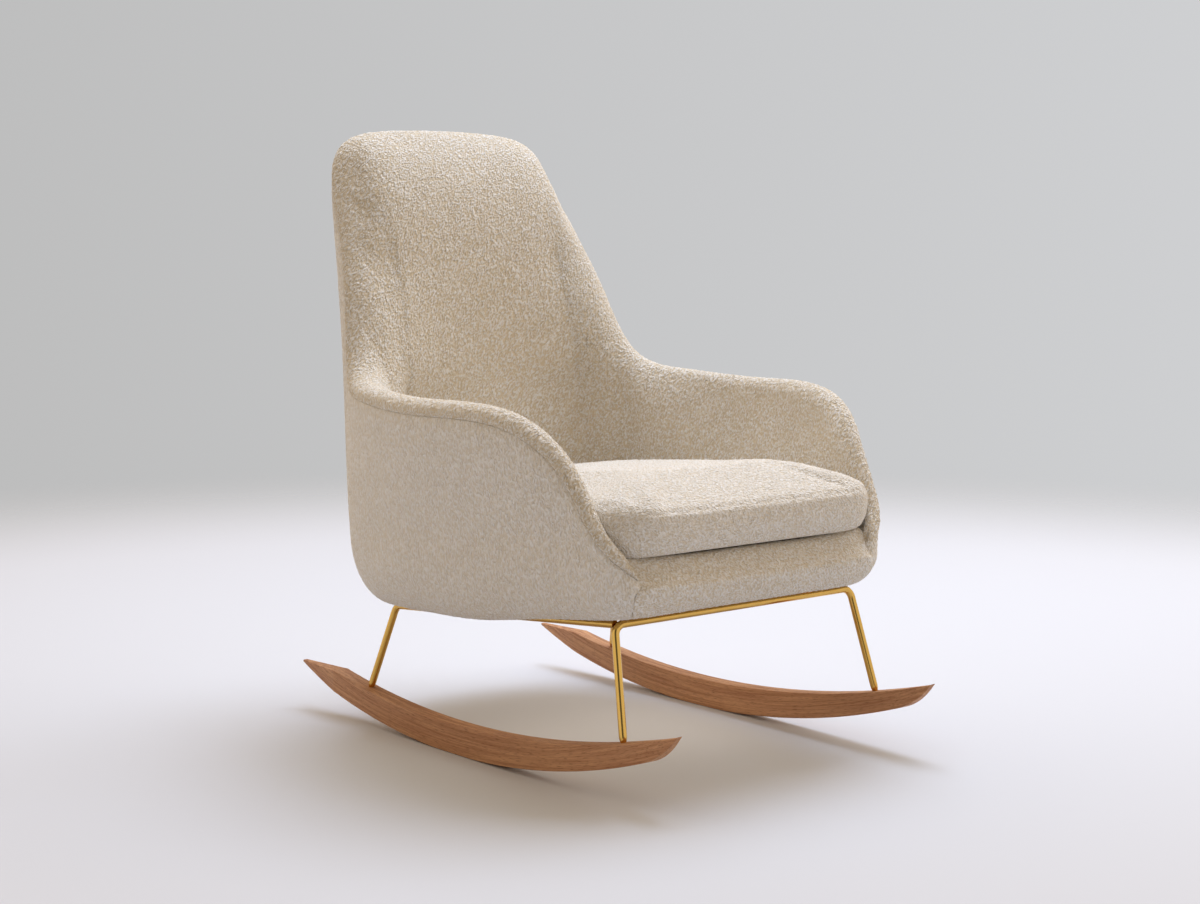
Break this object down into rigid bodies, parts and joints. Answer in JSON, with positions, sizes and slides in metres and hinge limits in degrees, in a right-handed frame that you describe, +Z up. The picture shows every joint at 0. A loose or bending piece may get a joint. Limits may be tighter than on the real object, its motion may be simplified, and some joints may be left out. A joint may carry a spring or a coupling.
{
  "type": "upholstered rocking chair",
  "caption": "High-back upholstered rocking chair: padded bucket with sloping arms, loose seat cushion, bent-rod base and crescent wooden rockers.",
  "frame": {"origin": "on the floor, midway between the rocker tips and between the rockers", "axes": "+X to the sitter's left, -Y the way the chair faces, +Z up"},
  "size_m": [0.7506, 0.98, 1.0031],
  "materials": {
    "oak": "satin",
    "brass_rod": "polished",
    "boucle": "matte",
    "foam": "matte",
    "plywood": "matte",
    "steel": "satin",
    "lining": "matte",
    "zip_metal": "satin"
  },
  "bodies": {
    "chair": {"rocker_left": "oak", "rocker_right": "oak", "front_hoop": "brass_rod", "side_rod_left": "brass_rod", "side_rod_right": "brass_rod", "mount_plate_front_left": "brass_rod", "mount_plate_front_right": "brass_rod", "mount_plate_rear_left": "brass_rod", "mount_plate_rear_right": "brass_rod", "outer_cover": "boucle", "inner_cover": "boucle", "apron_cover": "boucle", "front_band_cover": "boucle", "outer_foam": "foam", "inner_foam": "foam", "apron_foam": "foam", "deck_foam": "foam", "bucket_core": "plywood", "front_rail": "plywood", "seat_base": "plywood", "leg_bolt_front_left": "steel", "leg_bolt_front_right": "steel", "leg_bolt_rear_left": "steel", "leg_bolt_rear_right": "steel", "plate_screw_front_left": "steel", "plate_screw_front_right": "steel", "plate_screw_rear_left": "steel", "plate_screw_rear_right": "steel", "threaded_insert_front_left": "steel", "threaded_insert_front_right": "steel", "threaded_insert_rear_left": "steel", "threaded_insert_rear_right": "steel", "dust_cover": "lining", "deck_cover": "lining"},
    "cushion": {"cushion_cover": "boucle", "cushion_foam": "foam", "zip_tape": "lining"},
    "slider": {"zip_slider": "zip_metal"}
  },
  "joints": [
    {"name": "cushion_lift", "type": "slide", "parent": "chair", "child": "cushion", "axis": [0, 0, 1], "range_m": [0, 0.12]},
    {"name": "zip_slide", "type": "slide", "parent": "cushion", "child": "slider", "axis": [1, 0, 0], "range_m": [0, 0.26]}
  ]
}
